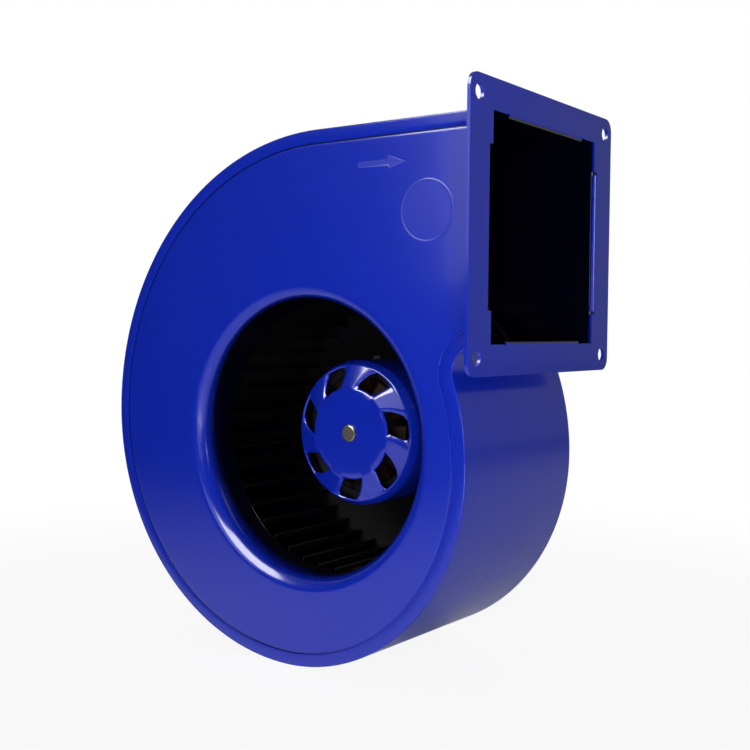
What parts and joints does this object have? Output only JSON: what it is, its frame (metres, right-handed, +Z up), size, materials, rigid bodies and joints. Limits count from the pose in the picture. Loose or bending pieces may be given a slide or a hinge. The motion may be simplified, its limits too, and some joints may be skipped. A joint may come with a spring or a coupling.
{
  "type": "dc blower fan",
  "caption": "Single-inlet centrifugal blower: blue scroll casing with a square outlet flange, a bellmouth inlet, a forward-curved wheel and an external-rotor motor inside it.",
  "frame": {"origin": "centre of the outlet flange's front face, halfway between its four holes", "axes": "+X out of the outlet, +Y from the inlet to the motor's rear along the fan axis, +Z up"},
  "size_m": [0.208, 0.121, 0.241],
  "materials": {
    "casing_paint": "satin powder coat",
    "impeller_coat": "satin dip coat",
    "rotor_paint": "satin",
    "bearing_steel": "polished",
    "shaft_steel": "turned",
    "zinc_steel": "zinc plated",
    "cast_aluminium": "as cast and machined",
    "grommet_rubber": "matte",
    "core_steel": "oiled laminations",
    "copper_wire": "enamelled",
    "magnet": "matte",
    "insulator_nylon": "matte",
    "board_laminate": "satin",
    "component_plastic": "matte",
    "connector_nylon": "matte"
  },
  "bodies": {
    "housing": {"scroll_wrap": "casing_paint", "inlet_plate": "casing_paint", "rear_plate": "casing_paint", "outlet_flange": "casing_paint", "motor_mount": "cast_aluminium", "bearing_cap": "zinc_steel", "lock_washers": "zinc_steel", "motor_screws": "zinc_steel", "cable_grommet": "grommet_rubber", "front_outer_race": "bearing_steel", "front_shields": "zinc_steel", "rear_outer_race": "bearing_steel", "rear_shields": "zinc_steel", "preload_spring": "shaft_steel", "stator_core": "core_steel", "front_insulator": "insulator_nylon", "rear_insulator": "insulator_nylon", "stator_windings": "copper_wire", "circuit_board": "board_laminate", "board_capacitors": "component_plastic", "board_transistors": "component_plastic", "hall_sensors": "component_plastic", "board_connector": "connector_nylon"},
    "impeller": {"rotor_bell": "rotor_paint", "rotor_magnets": "magnet", "shaft": "shaft_steel", "retaining_ring": "shaft_steel", "impeller_disc": "impeller_coat", "impeller_blades": "impeller_coat", "impeller_ring": "impeller_coat", "impeller_rivets": "zinc_steel", "front_inner_race": "bearing_steel", "rear_inner_race": "bearing_steel", "front_balls": "bearing_steel", "rear_balls": "bearing_steel"}
  },
  "joints": [
    {"name": "impeller_spin", "type": "hinge", "parent": "housing", "child": "impeller", "pos_m": [-0.093, 0, -0.086], "axis": [0, 1, 0], "continuous": true}
  ]
}
